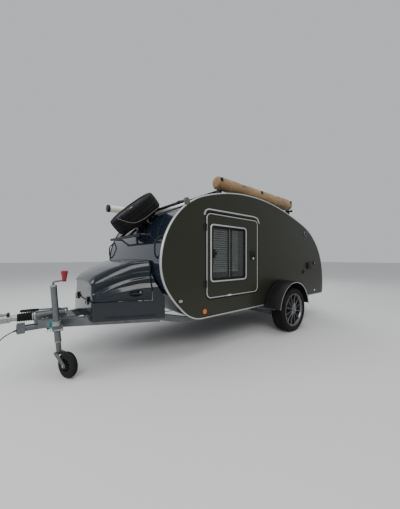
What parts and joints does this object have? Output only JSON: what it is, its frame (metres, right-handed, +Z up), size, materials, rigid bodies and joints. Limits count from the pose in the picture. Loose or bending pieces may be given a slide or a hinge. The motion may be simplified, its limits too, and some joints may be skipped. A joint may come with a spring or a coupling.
{
  "type": "teardrop trailer",
  "caption": "Teardrop camping trailer with flat arched sides, side doors, tail hatch, front locker, braked hitch, jockey wheel, roof bars, spare wheel and rolled awning.",
  "frame": {"origin": "ground level under the middle of the trailer's overall length and width", "axes": "+Z up; +Y from the hitch towards the tail; +X towards the left side"},
  "size_m": [1.97, 4.799, 1.9982],
  "materials": {
    "side_paint": "satin",
    "roof_paint": "gloss",
    "galvanised": "satin",
    "tyre": "matte",
    "rim": "satin",
    "black_plastic": "matte",
    "bar_black": "satin",
    "trim": "satin",
    "glass": "gloss",
    "blind": "matte",
    "interior_wood": "satin",
    "mattress": "matte",
    "awning": "matte",
    "cream_plastic": "satin",
    "orange_lens": "gloss",
    "white_lens": "gloss",
    "red_lens": "gloss",
    "plate": "satin",
    "bellows": "matte",
    "lead_black": "satin"
  },
  "bodies": {
    "trailer": {"left_side_panel": "side_paint", "left_fender": "black_plastic", "left_chassis_rail": "galvanised", "right_side_panel": "side_paint", "right_fender": "black_plastic", "right_chassis_rail": "galvanised", "nose_panel": "roof_paint", "roof_panel": "roof_paint", "tail_panel": "roof_paint", "front_locker": "roof_paint", "floor_panel": "interior_wood", "galley_unit": "interior_wood", "mattress": "mattress", "hinge_brackets": "black_plastic", "nose_handles": "black_plastic", "coupling_handle": "black_plastic", "side_inlets": "black_plastic", "rain_rails": "trim", "cross_members": "galvanised", "axle_beam": "galvanised", "coupling_tube": "galvanised", "overrun_housing": "galvanised", "coupling_head": "galvanised", "jockey_tube": "galvanised", "overrun_bellows": "bellows", "front_roof_bar": "bar_black", "middle_roof_bar": "bar_black", "rear_roof_bar": "bar_black", "spare_carrier": "bar_black", "spare_wheel": "tyre", "storage_tube": "cream_plastic", "awning_bag": "awning", "side_markers": "orange_lens", "front_markers": "white_lens", "rear_lights": "red_lens", "number_plate": "plate", "lead_gland": "black_plastic", "towing_lead": "lead_black", "lead_coil": "lead_black", "lead_plug": "black_plastic"},
    "left_door_body": {"left_door": "side_paint", "left_window_frame": "trim", "left_window_glass": "glass", "left_window_blind": "blind", "left_door_handle": "black_plastic"},
    "right_door_body": {"right_door": "side_paint", "right_window_frame": "trim", "right_window_glass": "glass", "right_window_blind": "blind", "right_door_handle": "black_plastic"},
    "hatch_body": {"tail_hatch": "roof_paint", "hatch_handle": "black_plastic"},
    "lid_body": {"locker_lid": "roof_paint"},
    "left_wheel_body": {"left_tyre": "tyre", "left_rim": "rim"},
    "right_wheel_body": {"right_tyre": "tyre", "right_rim": "rim"},
    "jockey_leg_body": {"jockey_leg": "galvanised"},
    "jockey_fork_body": {"jockey_fork": "galvanised"},
    "jockey_wheel_body": {"jockey_wheel": "black_plastic"}
  },
  "joints": [
    {"name": "left_door_hinge", "type": "hinge", "parent": "trailer", "child": "left_door_body", "pos_m": [0.746, -0.545, 1.0425], "axis": [0, 0, -1], "range_deg": [0, 95]},
    {"name": "right_door_hinge", "type": "hinge", "parent": "trailer", "child": "right_door_body", "pos_m": [-0.746, -0.545, 1.0425], "axis": [0, 0, 1], "range_deg": [0, 95]},
    {"name": "tail_hatch_hinge", "type": "hinge", "parent": "trailer", "child": "hatch_body", "pos_m": [0, 1.39, 1.61479], "axis": [1, 0, 0], "range_deg": [0, 75]},
    {"name": "locker_lid_hinge", "type": "hinge", "parent": "trailer", "child": "lid_body", "pos_m": [0, -1.6, 0.612], "axis": [1, 0, 0], "range_deg": [0, 50]},
    {"name": "left_wheel_axle", "type": "hinge", "parent": "trailer", "child": "left_wheel_body", "pos_m": [0.877, 0.873, 0.3], "axis": [1, 0, 0], "continuous": true},
    {"name": "right_wheel_axle", "type": "hinge", "parent": "trailer", "child": "right_wheel_body", "pos_m": [-0.877, 0.873, 0.3], "axis": [1, 0, 0], "continuous": true},
    {"name": "jockey_slide", "type": "slide", "parent": "trailer", "child": "jockey_leg_body", "axis": [0, -0.0698, 0.9976], "range_m": [-0.15, 0.045]},
    {"name": "jockey_swivel", "type": "hinge", "parent": "jockey_leg_body", "child": "jockey_fork_body", "pos_m": [0.26, -1.83047, 0.25], "axis": [0, -0.0698, 0.9976], "continuous": true},
    {"name": "jockey_wheel_axle", "type": "hinge", "parent": "jockey_fork_body", "child": "jockey_wheel_body", "pos_m": [0.36232, -1.77498, 0.108], "axis": [-0.4067, 0.9135, 0], "continuous": true}
  ]
}
